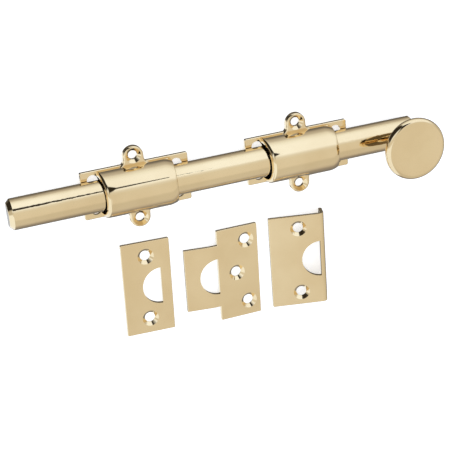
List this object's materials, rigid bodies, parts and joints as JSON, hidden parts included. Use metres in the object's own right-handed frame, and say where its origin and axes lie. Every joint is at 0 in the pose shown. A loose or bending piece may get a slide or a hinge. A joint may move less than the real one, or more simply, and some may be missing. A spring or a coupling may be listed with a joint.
{
  "type": "barrel bolt",
  "caption": "Surface barrel bolt in polished brass: half-round rod with a flat disc knob sliding through matching arched guides, with loose flat, stepped and angled strike plates.",
  "frame": {"origin": "middle of the front guide's pair of ear screws, on the mounting plane", "axes": "+X along the rod from its tip towards the knob, +Y across the rod from ear to ear, +Z out of the mounting face"},
  "size_m": [0.2114, 0.1021, 0.0299],
  "materials": {
    "bolt_rod": "polished and lacquered",
    "knob": "polished and lacquered",
    "knob_screw": "zinc plated",
    "front_plate": "polished and lacquered",
    "front_cover": "polished and lacquered",
    "front_spring": "rolled spring strip",
    "rear_plate": "polished and lacquered",
    "rear_cover": "polished and lacquered",
    "rear_spring": "rolled spring strip",
    "stop_pin": "turned",
    "flat_strike": "polished and lacquered",
    "step_strike": "polished and lacquered",
    "angle_strike": "polished and lacquered"
  },
  "bodies": {
    "fixed": {"front_plate": "front_plate", "front_cover": "front_cover", "front_spring": "front_spring", "rear_plate": "rear_plate", "rear_cover": "rear_cover", "rear_spring": "rear_spring", "stop_pin": "stop_pin", "flat_strike": "flat_strike", "step_strike": "step_strike", "angle_strike": "angle_strike"},
    "rod": {"bolt_rod": "bolt_rod", "knob": "knob", "knob_screw": "knob_screw"}
  },
  "joints": [
    {"name": "rod_slide", "type": "slide", "parent": "fixed", "child": "rod", "axis": [-1, 0, 0], "range_m": [-0.036, 0.0275]}
  ]
}
